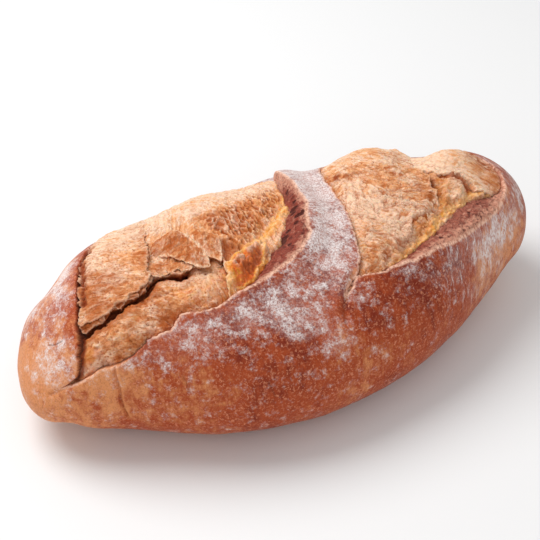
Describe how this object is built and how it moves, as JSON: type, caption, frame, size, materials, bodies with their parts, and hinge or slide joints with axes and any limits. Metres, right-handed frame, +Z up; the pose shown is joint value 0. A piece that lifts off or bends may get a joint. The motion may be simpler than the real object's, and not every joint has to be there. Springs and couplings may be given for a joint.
{
  "type": "country loaf",
  "caption": "Long rustic hearth loaf with a floury brown crust, two slashes burst open over torn crumb, and a flat base to rest on.",
  "frame": {"origin": "middle of the loaf's box, at the table", "axes": "+X along the loaf towards the end with the smaller burst, -Y towards the side with the raised crust edges, +Z up"},
  "size_m": [0.3, 0.1619, 0.0876],
  "materials": {
    "baked_crust": "dry matt baked crust, red-brown and dusted with white flour, opening on torn golden crumb"
  },
  "bodies": {
    "root": {"loaf": "baked_crust"}
  },
  "joints": []
}
